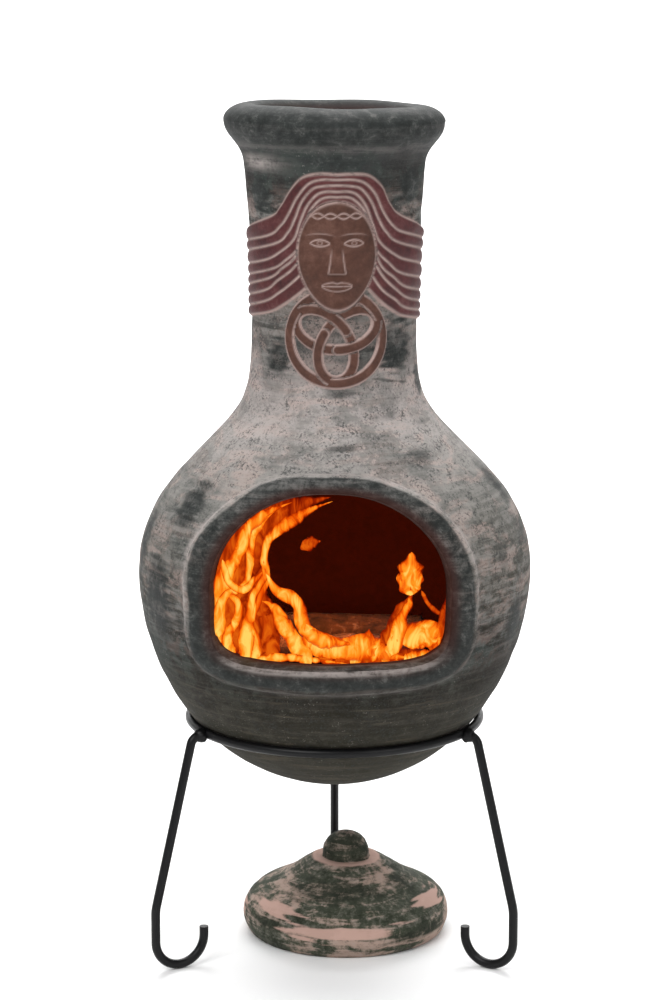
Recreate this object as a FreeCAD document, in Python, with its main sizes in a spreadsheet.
import FreeCAD, Part
import math
import os

import Sketcher

# Chiminea: a fired clay fire pot with a chimney neck, on a three-legged bar stand, with its
# rain lid standing on the ground under the bowl. Millimetres, +Z up, the mouth faces -Y and
# the origin is on the ground at the chimney's axis.

V = FreeCAD.Vector
TOP = V(0, 0, 1)
SEAM_ANGLE = 110

# name, value, what it is
SIZES = [
    ("bar_radius", 6.0, "radius of the stand's round bar"),
    ("ring_radius", 194.0, "centreline radius of the stand's ring"),
    ("ring_height", 315.5, "centreline height of the ring above the ground"),
    ("leg_drop", 1.5, "how far a leg's top end lies below the ring's centreline"),
    ("weld_root", 1.5, "root gap between the ring and a leg's end"),
    ("weld_radius", 10.0, "radius of a weld bead"),
    ("leg_top_radius", 214.0, "distance from the axis to a leg's top bend"),
    ("leg_bend_radius", 14.0, "centreline radius of the top bend"),
    ("foot_radius", 271.0, "distance from the axis to a leg's lowest straight"),
    ("knee_height", 85.0, "height at which a leg turns upright"),
    ("knee_bend_radius", 60.0, "centreline radius of that turn"),
    ("hook_radius", 35.5, "centreline radius of the foot's hook"),
    ("hook_tip_height", 52.0, "height of the hook's free end"),
    ("front_leg_angle", 60.0, "angle of each front leg from the mouth's direction"),
    ("seat_gap", 0.3, "play between the bowl and the ring"),
    ("bowl_radius", 259.0, "outside radius of the bowl"),
    ("bowl_depth", 292.0, "lower quarter ellipse, from the widest level down"),
    ("bowl_rise", 212.0, "upper quarter ellipse, from the widest level up"),
    ("crown_height", 127.0, "height above the widest level where the throat starts"),
    ("crown_pull", 105.0, "how far the crown's slope carries into the throat"),
    ("waist_pull", 164.5, "how far the neck's line carries down into the throat"),
    ("base_radius", 45.0, "radius of the flat under the bowl"),
    ("waist_radius", 108.0, "outside radius of the neck's waist"),
    ("waist_height", 367.0, "height of the waist above the widest level"),
    ("flare_radius", 117.0, "outside radius of the neck where the rim starts"),
    ("flare_height", 532.0, "height of that place above the widest level"),
    ("rim_radius", 143.6, "outside radius of the rolled rim"),
    ("rim_height", 587.0, "height of the rim's widest line above the widest level"),
    ("crest_radius", 110.0, "radius of the rim's crest"),
    ("crest_height", 609.0, "height of the rim's crest above the widest level"),
    ("bore_radius", 92.0, "inside radius of the chimney"),
    ("bore_bottom", 282.0, "height of the chimney bore's lower end above the widest level"),
    ("lip_drop", 18.0, "height of the rounding from the crest into the bore"),
    ("wall", 22.0, "thickness of the clay wall of the bowl"),
    ("mouth_middle", -5.0, "sideways place of the mouth"),
    ("mouth_half_width", 146.0, "half of the mouth's width"),
    ("sill_drop", 77.0, "drop of the mouth's sill below the widest level"),
    ("spring_rise", 9.0, "height above the widest level where the mouth's arch springs"),
    ("arch_rise", 136.0, "height of the arch's top above the widest level"),
    ("sill_corner", 35.0, "radius of the mouth's lower corners"),
    ("collar_side", 34.0, "width of the collar beside the mouth"),
    ("collar_below", 32.0, "width of the collar below the mouth"),
    ("collar_above", 17.0, "height of the collar above the mouth"),
    ("collar_stand", 23.0, "how far the collar stands out of the bowl"),
    ("collar_round", 12.0, "rounding of the collar's outer edge"),
    ("relief_stand", 5.0, "how far the carving stands out of the neck"),
    ("hair_bottom", 337.0, "lower edge of the carved hair above the widest level"),
    ("hair_top", 527.0, "top of the carved hair above the widest level"),
    ("face_height", 423.0, "middle of the carved face above the widest level"),
    ("face_half_width", 46.0, "half width of the carved face"),
    ("face_half_length", 68.0, "half length of the carved face"),
    ("face_stand", 14.0, "how far the face stands out of the neck"),
    ("knot_height", 315.0, "middle of the carved knot above the widest level"),
    ("knot_half_width", 64.0, "half width of the carved knot"),
    ("knot_half_length", 53.0, "half height of the carved knot"),
    ("knot_band", 11.0, "width of the knot's band"),
    ("sand_depth", 96.0, "depth of the sand over the bowl's inner base"),
    ("fill_gap", 0.3, "play between the sand, the logs and what they rest on"),
    ("log_radius", 24.0, "radius of the logs that lie on the sand"),
    ("log_length", 220.0, "length of the logs that lie on the sand"),
    ("log_spacing", 74.0, "spacing of the logs that lie on the sand"),
    ("cross_log_radius", 21.0, "radius of the logs laid across them"),
    ("cross_log_length", 250.0, "length of the logs laid across them"),
    ("cross_log_spacing", 120.0, "spacing of the logs laid across them"),
    ("lid_x", 15.6, "sideways place of the lid on the ground"),
    ("lid_y", 50.0, "place of the lid behind the chimney's axis"),
    ("lid_foot_radius", 128.0, "outside radius of the lid's flat edge"),
    ("lid_edge_width", 11.0, "width of the lid's flat edge"),
    ("lid_skirt_round", 40.0, "radius of the skirt's bulging curve"),
    ("lid_shoulder_radius", 126.0, "radius where the skirt turns into the flank"),
    ("lid_shoulder_height", 60.0, "height of that place"),
    ("lid_flank_radius", 44.0, "radius where the flank meets the knob's seat"),
    ("lid_flank_height", 102.0, "height of that place"),
    ("lid_flank_hollow", 240.0, "radius of the flank's hollow curve"),
    ("lid_wall", 15.0, "thickness of the lid's wall"),
    ("knob_radius", 30.0, "radius of the lid's knob"),
    ("knob_centre", 107.0, "height of the knob's centre"),
]

doc = FreeCAD.newDocument("chiminea")
sheet = doc.addObject("Spreadsheet::Sheet", "sizes")
worked_out = []


def fill_sheet():
    """Write the driving sizes into the sheet, one aliased cell each."""
    for row, (name, value, note) in enumerate(SIZES, start=1):
        sheet.set("A%d" % row, name)
        sheet.set("B%d" % row, repr(value))
        sheet.setAlias("B%d" % row, name)
        sheet.set("C%d" % row, note)
    doc.recompute()


def size(name):
    """Read one size from the sheet."""
    return float(getattr(sheet, name))


def keep_worked_out(name, value, note):
    """Write a value that follows from the others into the next free row of the sheet."""
    row = len(SIZES) + 1 + len(worked_out)
    worked_out.append(name)
    sheet.set("A%d" % row, name)
    sheet.set("B%d" % row, repr(value))
    sheet.setAlias("B%d" % row, name)
    sheet.set("C%d" % row, note)
    doc.recompute()


def seated_widest_level():
    """Height of the bowl's widest level when the bowl rests in the ring.

    A point of the lower ellipse is found whose outward normal, as long as the bar's radius and
    the play, ends on the ring's centreline.
    """
    across = size("bowl_radius")
    down = size("bowl_depth")
    reach = size("bar_radius") + size("seat_gap")

    def bar_centre(turn):
        normal = V(math.cos(turn) / across, 0, -math.sin(turn) / down).normalize()
        return V(across * math.cos(turn), 0, -down * math.sin(turn)) + normal * reach

    low = 0.0
    high = math.pi / 2
    for _ in range(60):
        middle = (low + high) / 2
        if bar_centre(middle).x > size("ring_radius"):
            low = middle
        else:
            high = middle
    return size("ring_height") - bar_centre(low).z


# ---------------------------------------------------------------- small helpers for shapes


def line(start, end):
    return Part.LineSegment(start, end).toShape()


def bezier(*poles):
    curve = Part.BezierCurve()
    curve.setPoles(list(poles))
    return curve.toShape()


def quarter_ellipse(centre, across, upward, start, end):
    """Arc of an ellipse in the XZ plane; angles in degrees from +X towards +Z."""
    if across >= upward:
        ellipse = Part.Ellipse(centre + V(across, 0, 0), centre + V(0, 0, upward), centre)
        return ellipse.toShape(math.radians(start), math.radians(end))
    ellipse = Part.Ellipse(centre + V(0, 0, upward), centre - V(across, 0, 0), centre)
    return ellipse.toShape(math.radians(start - 90), math.radians(end - 90))


def turned(edges):
    """Solid made by turning a closed outline about the chimney's axis, its seam at the back."""
    wire = Part.Wire(Part.__sortEdges__(edges))
    wire.rotate(V(0, 0, 0), TOP, SEAM_ANGLE)
    return Part.makeSolid(Part.Face(wire).revolve(V(0, 0, 0), TOP, 360))


def front_prism(edges, back=0.0):
    """Solid that pushes an XZ outline forwards, from y = back out past the bowl."""
    reach = 2 * size("bowl_radius")
    wire = Part.Wire(Part.__sortEdges__(edges))
    wire.translate(V(0, back, 0))
    return Part.Face(wire).extrude(V(0, -reach, 0))


def keep_solid(name, shape, placement=None):
    """Put a shape made by Part's functions into the document."""
    feature = doc.addObject("Part::Feature", name)
    feature.Shape = shape
    if placement is not None:
        feature.Placement = placement
    feature.Label = name
    return feature


def bind(obj, **links):
    """Bind properties of an object to expressions on the sheet."""
    for name, formula in links.items():
        obj.setExpression(name.replace("__", "."), formula)


# ---------------------------------------------------------------- the clay pot


def crown_point(offset=0.0):
    """Where the crown's ellipse hands over to the throat, and the slope there (dr over dz)."""
    across = size("bowl_radius") + offset
    upward = size("bowl_rise") + offset
    rise = size("crown_height")
    radius = across * math.sqrt(1 - (rise / upward) ** 2)
    slope = -(across / upward) ** 2 * rise / radius
    return V(radius, 0, rise), slope


def ellipse_angle(across, upward, point):
    return math.degrees(math.atan2(point.z / upward, point.x / across))


def base_point(offset=0.0):
    """Outer edge of the flat under the bowl, or of the flat inside it."""
    across = size("bowl_radius") + offset
    down = size("bowl_depth") + offset
    radius = size("base_radius")
    return V(radius, 0, -down * math.sqrt(1 - (radius / across) ** 2))


def bowl_edges(offset):
    """Base flat, lower ellipse and crown ellipse, up to the throat."""
    across = size("bowl_radius") + offset
    down = size("bowl_depth") + offset
    upward = size("bowl_rise") + offset
    base = base_point(offset)
    crown, _ = crown_point(offset)
    middle = V(0, 0, 0)
    return [
        line(V(0, 0, base.z), base),
        quarter_ellipse(middle, across, down, ellipse_angle(across, down, base), 0),
        quarter_ellipse(middle, across, upward, 0, ellipse_angle(across, upward, crown)),
    ]


def throat_edge(offset, end, pull):
    """Smooth hollow curve from the crown up to the neck."""
    crown, slope = crown_point(offset)
    leave = V(slope, 0, 1) * size("crown_pull")
    return bezier(crown, crown + leave, end - V(0, 0, pull), end)


def neck_edges(offset):
    """Waist to flare, and flare to the rim's widest line."""
    waist = V(size("waist_radius") + offset, 0, size("waist_height"))
    flare = V(size("flare_radius") + offset, 0, size("flare_height"))
    span = flare.z - waist.z
    return [bezier(waist, waist + V(0, 0, span / 3), flare - V(span / 25, 0, span / 3), flare)]


def rim_edges():
    """Flare, rolled outer half of the rim, and the rounding into the bore."""
    flare = V(size("flare_radius"), 0, size("flare_height"))
    rim = V(size("rim_radius"), 0, size("rim_height"))
    crest = V(size("crest_radius"), 0, size("crest_height"))
    rise = rim.z - flare.z
    roll_centre = V(crest.x, 0, rim.z)
    return [
        bezier(flare, flare + V(rise / 50, 0, rise / 2), rim - V(0, 0, rise * 0.4), rim),
        quarter_ellipse(roll_centre, rim.x - crest.x, crest.z - rim.z, 0, 90),
    ]


def outer_solid():
    """The whole outside of the pot, filled."""
    waist = V(size("waist_radius"), 0, size("waist_height"))
    crest = V(size("crest_radius"), 0, size("crest_height"))
    base = base_point()
    edges = bowl_edges(0.0)
    edges.append(throat_edge(0.0, waist, size("waist_pull")))
    edges.extend(neck_edges(0.0))
    edges.extend(rim_edges())
    edges.append(line(crest, V(0, 0, crest.z)))
    edges.append(line(V(0, 0, crest.z), V(0, 0, base.z)))
    return turned(edges)


def cavity_solid():
    """The inside of the bowl, the throat and the chimney's bore."""
    inset = -size("wall")
    crest = V(size("crest_radius"), 0, size("crest_height"))
    bore_low = V(size("bore_radius"), 0, size("bore_bottom"))
    bore_high = V(size("bore_radius"), 0, crest.z - size("lip_drop"))
    base = base_point(inset)
    edges = bowl_edges(inset)
    edges.append(throat_edge(inset, bore_low, size("waist_pull") / 3))
    edges.append(line(bore_low, bore_high))
    lip = crest - bore_high
    edges.append(
        bezier(bore_high, bore_high + V(lip.x / 4, 0, lip.z / 2), crest - V(lip.x / 2, 0, 0), crest)
    )
    edges.append(line(crest, V(0, 0, crest.z)))
    edges.append(line(V(0, 0, crest.z), V(0, 0, base.z)))
    return turned(edges)


def swollen_bowl(offset):
    """The bowl made larger all round, closed over its crown."""
    across = size("bowl_radius") + offset
    down = size("bowl_depth") + offset
    upward = size("bowl_rise") + offset
    edges = [
        quarter_ellipse(V(0, 0, 0), across, down, -90, 0),
        quarter_ellipse(V(0, 0, 0), across, upward, 0, 90),
        line(V(0, 0, upward), V(0, 0, -down)),
    ]
    return turned(edges)


def mouth_outline(side, below, above):
    """Round-topped opening with a flat sill, in the XZ plane, grown by the three widths."""
    middle = size("mouth_middle")
    half = size("mouth_half_width") + side
    sill = -size("sill_drop") - below
    spring = size("spring_rise")
    top = size("arch_rise") + above
    corner = size("sill_corner") + min(side, below)
    left = middle - half
    right = middle + half
    arch = quarter_ellipse(V(middle, 0, spring), half, top - spring, 0, 180)
    slant = corner * (1 - math.sqrt(0.5))
    right_mid = V(right - slant, 0, sill + slant)
    left_mid = V(left + slant, 0, sill + slant)
    right_arc = Part.Arc(V(right - corner, 0, sill), right_mid, V(right, 0, sill + corner))
    left_arc = Part.Arc(V(left, 0, sill + corner), left_mid, V(left + corner, 0, sill))
    return [
        line(V(left + corner, 0, sill), V(right - corner, 0, sill)),
        right_arc.toShape(),
        line(V(right, 0, sill + corner), V(right, 0, spring)),
        arch,
        line(V(left, 0, spring), V(left, 0, sill + corner)),
        left_arc.toShape(),
    ]


def rim_of_front(block):
    """Edges where the block's curved front meets its outline."""
    edges = []
    for edge in block.Edges:
        faces = block.ancestorsOfType(edge, Part.Face)
        curved = [face for face in faces if "Revolution" in face.Surface.TypeId]
        middle = edge.valueAt((edge.FirstParameter + edge.LastParameter) / 2)
        if len(curved) == 1 and middle.y < 0:
            edges.append(edge)
    return edges


def collar_solid():
    """Raised roll round the mouth, following the bowl's curve, with a rounded outer edge."""
    outline = mouth_outline(size("collar_side"), size("collar_below"), size("collar_above"))
    block = swollen_bowl(size("collar_stand")).common(front_prism(outline))
    return block.makeFillet(size("collar_round"), rim_of_front(block))


def hair_outline():
    """Fan of carved hair over the front half of the neck, parted at the middle."""
    reach = size("rim_radius")
    top = size("hair_top")
    bottom = size("hair_bottom")
    side = top - (top - bottom) * 0.4
    return [
        bezier(V(0, 0, top), V(reach / 2, 0, top), V(reach * 0.7, 0, side + 30), V(reach, 0, side)),
        line(V(reach, 0, side), V(reach, 0, bottom)),
        bezier(V(reach, 0, bottom), V(0, 0, bottom + 70), V(-reach, 0, bottom)),
        line(V(-reach, 0, bottom), V(-reach, 0, side)),
        bezier(V(-reach, 0, side), V(-reach * 0.7, 0, side + 30), V(-reach / 2, 0, top), V(0, 0, top)),
    ]


def neck_band(offset):
    """The neck and the throat's upper part made thicker, for the carving to be cut from."""
    waist = V(size("waist_radius") + offset, 0, size("waist_height"))
    flare = V(size("flare_radius") + offset, 0, size("flare_height"))
    crown, _ = crown_point(offset)
    edges = [throat_edge(offset, waist, size("waist_pull"))]
    edges.extend(neck_edges(offset))
    edges.append(line(flare, V(0, 0, flare.z)))
    edges.append(line(V(0, 0, flare.z), V(0, 0, crown.z)))
    edges.append(line(V(0, 0, crown.z), crown))
    return turned(edges)


def knot_ring(half_width, half_length):
    """Oval band of the knot, cut from the thickened neck."""
    centre = V(0, 0, size("knot_height"))
    band = size("knot_band")
    outer = quarter_ellipse(centre, half_width, half_length, 0, 360)
    inner = quarter_ellipse(centre, half_width - band, half_length - band, 0, 360)
    tube = front_prism([outer]).cut(front_prism([inner]))
    return neck_band(size("relief_stand")).common(tube)


def face_solid():
    """Plain raised oval for the carved face."""
    middle = size("face_height")
    depth = size("relief_stand") + size("face_stand")
    oval = Part.makeSphere(1.0)
    grow = FreeCAD.Matrix()
    grow.scale(size("face_half_width"), depth, size("face_half_length"))
    oval = oval.transformGeometry(grow)
    oval.translate(V(0, -size("waist_radius") + size("relief_stand"), middle))
    return oval


def make_clay_body():
    """Bowl, neck, rim, collar and carving: one casting of clay."""
    pot = outer_solid()
    hair = neck_band(size("relief_stand")).common(front_prism(hair_outline(), -size("wall")))
    narrow = size("knot_half_width") / 2
    knot = knot_ring(size("knot_half_width"), size("knot_half_length"))
    loop = knot_ring(narrow, size("knot_half_length") - size("knot_band") / 2)
    pot = pot.fuse([collar_solid(), hair, knot, loop, face_solid()])
    pot = pot.cut(cavity_solid())
    pot = pot.cut(front_prism(mouth_outline(0, 0, 0)))
    seat = FreeCAD.Placement(V(0, 0, size("widest_level")), FreeCAD.Rotation())
    return keep_solid("clay_body", pot.removeSplitter(), seat)


def make_sand_bed():
    """Flat-topped layer of sand that fills the bottom of the bowl."""
    inset = -size("wall") - size("fill_gap")
    floor = base_point(-size("wall")).z
    level = floor + size("sand_depth")
    filled = swollen_bowl(inset)
    slab = Part.makeCylinder(size("bowl_radius"), level - floor, V(0, 0, floor + size("fill_gap")))
    seat = FreeCAD.Placement(V(0, 0, size("widest_level")), FreeCAD.Rotation())
    return keep_solid("sand_bed", filled.common(slab), seat)


def lying_log(radius, length, middle, turn):
    """Log lying level, its length turned from the X axis by an angle in degrees."""
    along = V(math.cos(math.radians(turn)), math.sin(math.radians(turn)), 0)
    return Part.makeCylinder(radius, length, middle - along * (length / 2), along)


def make_logs():
    """Three logs on the sand and two laid across them, each a piece of its own."""
    gap = size("fill_gap")
    low = size("log_radius")
    high = size("cross_log_radius")
    ground = base_point(-size("wall")).z + size("sand_depth") + gap
    seat = FreeCAD.Placement(V(0, 0, size("widest_level")), FreeCAD.Rotation())
    logs = []
    for index, (name, turn) in enumerate((("left", 84.0), ("middle", 90.0), ("right", 97.0))):
        middle = V((index - 1) * size("log_spacing"), 0, ground + low)
        log = lying_log(low, size("log_length"), middle, turn)
        logs.append(keep_solid("bed_log_" + name, log, seat))
    level = ground + 2 * low + gap + high
    for side, name, turn in ((-1, "front", 3.0), (1, "back", -6.0)):
        middle = V(0, side * size("cross_log_spacing") / 2, level)
        log = lying_log(high, size("cross_log_length"), middle, turn)
        logs.append(keep_solid("cross_log_" + name, log, seat))
    return logs


# ---------------------------------------------------------------- the bar stand


def origin_plane(body, role):
    for feature in body.Origin.OriginFeatures:
        if feature.Role == role:
            return feature
    raise ValueError(role)


def new_sketch(body, name, role):
    sketch = body.newObject("Sketcher::SketchObject", name)
    sketch.AttachmentSupport = [(origin_plane(body, role), "")]
    sketch.MapMode = "FlatFace"
    return sketch


def drive(sketch, kind, where, formula):
    """Add a dimension to a sketch at its present value and bind it to the sheet."""
    value = evaluate(formula)
    number = sketch.addConstraint(Sketcher.Constraint(kind, *where, value))
    sketch.setExpression("Constraints[%d]" % number, formula)


def place_point(sketch, element, vertex, across, upward):
    """Fix one vertex of a sketch at two distances that the sheet gives."""
    drive(sketch, "DistanceX", (-1, 1, element, vertex), across)
    drive(sketch, "DistanceY", (-1, 1, element, vertex), upward)


def make_ring():
    ring = doc.addObject("Part::Torus", "stand_ring")
    bind(ring, Radius1="sizes.ring_radius", Radius2="sizes.bar_radius")
    ring.Placement = FreeCAD.Placement(V(0, 0, 0), FreeCAD.Rotation(TOP, SEAM_ANGLE))
    bind(ring, Placement__Base__z="sizes.ring_height")
    ring.Label = "stand_ring"
    return ring


def leg_path(body):
    """Centreline of a leg: out from the ring, down and outwards, upright, hooked inwards."""
    path = new_sketch(body, body.Name + "_path", "XZ_Plane")
    start = size("ring_radius") + size("bar_radius") + size("weld_root")
    top = size("ring_height") - size("leg_drop")
    out = size("foot_radius")
    hook = size("hook_radius")
    low = hook + size("bar_radius")
    tip = size("hook_tip_height")
    knee = size("knee_height")
    bend = size("leg_top_radius")
    stub = V(bend - 5, top, 0)
    down = V(bend + 2, top - 12, 0)
    turn = V(out - 2, knee + 8, 0)
    upright = V(out, knee - 8, 0)
    foot = V(out, low, 0)
    inner = V(out - 2 * hook, low, 0)

    pieces = [
        Part.LineSegment(V(start, top, 0), stub),
        Part.Arc(stub, V(bend + 0.5, top - 5, 0), down),
        Part.LineSegment(down, turn),
        Part.Arc(turn, V(out - 0.5, knee, 0), upright),
        Part.LineSegment(upright, foot),
        Part.Arc(foot, V(out - hook, low - hook, 0), inner),
        Part.LineSegment(inner, V(inner.x, tip, 0)),
    ]
    for piece in pieces:
        path.addGeometry(piece, False)
    corner_high = path.addGeometry(Part.Point(V(bend, top, 0)), True)
    corner_low = path.addGeometry(Part.Point(V(out, knee, 0)), True)
    ends = arc_ends(path, pieces)
    for index in range(len(pieces) - 1):
        here = ends[index][1]
        there = ends[index + 1][0]
        path.addConstraint(Sketcher.Constraint("Tangent", index, here, index + 1, there))
    path.addConstraint(Sketcher.Constraint("Horizontal", 0))
    path.addConstraint(Sketcher.Constraint("Vertical", 4))
    path.addConstraint(Sketcher.Constraint("PointOnObject", corner_high, 1, 2))
    path.addConstraint(Sketcher.Constraint("PointOnObject", corner_low, 1, 2))
    path.addConstraint(Sketcher.Constraint("PointOnObject", corner_low, 1, 4))
    drop = "sizes.ring_height - sizes.leg_drop"
    place_point(path, 0, 1, "sizes.ring_radius + sizes.bar_radius + sizes.weld_root", drop)
    place_point(path, corner_high, 1, "sizes.leg_top_radius", drop)
    place_point(path, corner_low, 1, "sizes.foot_radius", "sizes.knee_height")
    drive(path, "Radius", (1,), "sizes.leg_bend_radius")
    drive(path, "Radius", (3,), "sizes.knee_bend_radius")
    drive(path, "Radius", (5,), "sizes.hook_radius")
    drive(path, "DistanceY", (-1, 1, 5, 3), "sizes.hook_radius + sizes.bar_radius")
    path.addConstraint(Sketcher.Constraint("Vertical", 6))
    drive(path, "DistanceY", (-1, 1, 6, ends[6][1]), "sizes.hook_tip_height")
    return path


def arc_ends(path, pieces):
    """For each drawn piece, which of its sketch vertices comes first and which last."""
    ends = []
    previous = None
    for index, piece in enumerate(pieces):
        start = path.getPoint(index, 1)
        finish = path.getPoint(index, 2)
        if previous is None or start.distanceToPoint(previous) < finish.distanceToPoint(previous):
            ends.append((1, 2))
            previous = finish
        else:
            ends.append((2, 1))
            previous = start
    return ends


def make_leg(name, angle):
    """One bent round bar, built in the XZ plane and turned about the axis to its place."""
    body = doc.addObject("PartDesign::Body", name)
    path = leg_path(body)
    section = new_sketch(body, name + "_section", "YZ_Plane")
    offset = "sizes.ring_radius + sizes.bar_radius + sizes.weld_root"
    section.setExpression("AttachmentOffset.Base.z", offset)
    middle = V(0, size("ring_height") - size("leg_drop"), 0)
    section.addGeometry(Part.Circle(middle, V(0, 0, 1), size("bar_radius")), False)
    section.addConstraint(Sketcher.Constraint("PointOnObject", 0, 3, -2))
    drive(section, "DistanceY", (-1, 1, 0, 3), "sizes.ring_height - sizes.leg_drop")
    drive(section, "Radius", (0,), "sizes.bar_radius")
    doc.recompute()
    pipe = body.newObject("PartDesign::AdditivePipe", name + "_bar")
    pipe.Profile = section
    pipe.Spine = path
    doc.recompute()
    body.Placement = FreeCAD.Placement(V(0, 0, 0), FreeCAD.Rotation(TOP, angle))
    body.Label = name
    return body


def make_welds(angles, rear_leg):
    """A bead round each leg's end, with the room of the ring and of the leg cut out of it."""
    outward = V(0, 1, 0)
    edge = size("ring_radius") + size("bar_radius")
    level = V(0, 0, size("ring_height") - size("leg_drop"))
    bead = Part.makeSphere(size("weld_radius"), outward * (edge + size("weld_root") / 2) + level)
    ring = Part.makeTorus(size("ring_radius"), size("bar_radius"), V(0, 0, size("ring_height")))
    bead = bead.cut(ring).cut(rear_leg.Shape)
    beads = []
    for angle in angles:
        copy = bead.copy()
        copy.rotate(V(0, 0, 0), TOP, angle - 90)
        beads.append(copy)
    return keep_solid("leg_welds", Part.makeCompound(beads))


# ---------------------------------------------------------------- the rain lid


def make_rain_lid():
    """Domed clay lid, hollow underneath, turned from one sketch, with a ball knob."""
    body = doc.addObject("PartDesign::Body", "rain_lid")
    sketch = new_sketch(body, "rain_lid_outline", "XZ_Plane")
    wall = "sizes.lid_wall"
    foot_in = "sizes.lid_foot_radius - sizes.lid_edge_width"
    inner_shoulder = "sizes.lid_shoulder_radius - sizes.lid_wall"
    under = "sizes.lid_shoulder_height - sizes.lid_wall / 2"
    crown = "sizes.lid_flank_height - sizes.lid_wall"
    knob_top = "sizes.knob_centre + sizes.knob_radius"
    seat_depth = "sizes.lid_flank_height"
    corners = [
        ("0", crown),
        ("sizes.lid_flank_radius", crown),
        (inner_shoulder, under),
        (foot_in, "0"),
        ("sizes.lid_foot_radius", "0"),
        ("sizes.lid_shoulder_radius", "sizes.lid_shoulder_height"),
        ("sizes.lid_flank_radius", seat_depth),
        ("sqrt(sizes.knob_radius^2 - (sizes.knob_centre - sizes.lid_flank_height)^2)", seat_depth),
        ("0", knob_top),
    ]
    spots = [V(evaluate(a), evaluate(b), 0) for a, b in corners]
    skirt = Part.Arc(spots[4], (spots[4] + spots[5]) * 0.5 + V(12, 0, 0), spots[5])
    sink = (spots[5] + spots[6]) * 0.5 + V(-2, -4, 0)
    flank = Part.Arc(spots[5], sink, spots[6])
    ball_side = V(0, size("knob_centre"), 0) + V(1, 1, 0).normalize() * size("knob_radius")
    knob = Part.Arc(spots[7], ball_side, spots[8])
    pieces = [
        Part.LineSegment(spots[0], spots[1]),
        Part.LineSegment(spots[1], spots[2]),
        Part.LineSegment(spots[2], spots[3]),
        Part.LineSegment(spots[3], spots[4]),
        skirt,
        flank,
        Part.LineSegment(spots[6], spots[7]),
        knob,
        Part.LineSegment(spots[8], spots[0]),
    ]
    for piece in pieces:
        sketch.addGeometry(piece, False)
    ends = arc_ends(sketch, pieces)
    for index in range(len(pieces)):
        after = (index + 1) % len(pieces)
        here = ends[index][1]
        there = ends[after][0]
        sketch.addConstraint(Sketcher.Constraint("Coincident", index, here, after, there))
    for index, (across, upward) in enumerate(corners):
        vertex = ends[index][0]
        if index == 7:
            drive(sketch, "DistanceY", (-1, 1, index, vertex), upward)
        elif across == "0":
            sketch.addConstraint(Sketcher.Constraint("PointOnObject", index, vertex, -2))
            drive(sketch, "DistanceY", (-1, 1, index, vertex), upward)
        elif upward == "0":
            sketch.addConstraint(Sketcher.Constraint("PointOnObject", index, vertex, -1))
            drive(sketch, "DistanceX", (-1, 1, index, vertex), across)
        else:
            place_point(sketch, index, vertex, across, upward)
    drive(sketch, "Radius", (4,), "sizes.lid_skirt_round")
    drive(sketch, "Radius", (5,), "sizes.lid_flank_hollow")
    sketch.addConstraint(Sketcher.Constraint("PointOnObject", 7, 3, -2))
    drive(sketch, "DistanceY", (-1, 1, 7, 3), "sizes.knob_centre")
    doc.recompute()
    turn = body.newObject("PartDesign::Revolution", "rain_lid_shell")
    turn.Profile = sketch
    turn.ReferenceAxis = (sketch, ["V_Axis"])
    turn.Angle = 360
    doc.recompute()
    body.Placement = FreeCAD.Placement(V(size("lid_x"), size("lid_y"), 0), FreeCAD.Rotation())
    body.Label = "rain_lid"
    return body


def evaluate(formula):
    """Value of a short sheet formula, used to draw a sketch near its final shape."""
    cell = "D%d" % (len(SIZES) + 10)
    sheet.set(cell, "=" + formula.replace("sizes.", ""))
    doc.recompute()
    value = float(sheet.get(cell))
    sheet.clear(cell)
    return value


# ---------------------------------------------------------------- build, check and write


def check_model(parts):
    for obj in doc.Objects:
        if "Invalid" in obj.State or "Error" in obj.State:
            raise RuntimeError("%s failed: %s" % (obj.Name, obj.State))
    for part in parts:
        if part.Shape.isNull() or not part.Shape.isValid() or not part.Shape.Solids:
            raise RuntimeError("%s has no valid solid" % part.Label)


def main():
    fill_sheet()
    keep_worked_out("widest_level", seated_widest_level(), "height of the widest level")
    front = size("front_leg_angle")
    angles = [-90.0 - front, -90.0 + front, 90.0]
    ring = make_ring()
    names = ("stand_leg_left", "stand_leg_right", "stand_leg_rear")
    legs = [make_leg(name, angle) for name, angle in zip(names, angles)]
    doc.recompute()
    parts = [ring, make_welds(angles, legs[-1])] + legs
    parts.extend([make_clay_body(), make_sand_bed(), make_rain_lid()])
    parts.extend(make_logs())
    doc.recompute()
    check_model(parts)
    os.makedirs("parts", exist_ok=True)
    for part in parts:
        part.Shape.exportStep("parts/%s.step" % part.Label)
        box = part.Shape.BoundBox
        spans = (box.XMin, box.XMax, box.YMin, box.YMax, box.ZMin, box.ZMax)
        text = " ".join("%.1f" % value for value in spans)
        print("%-16s %d solids %9.1f cm3  %s" % (part.Label, len(part.Shape.Solids),
                                                 part.Shape.Volume / 1000, text))


main()
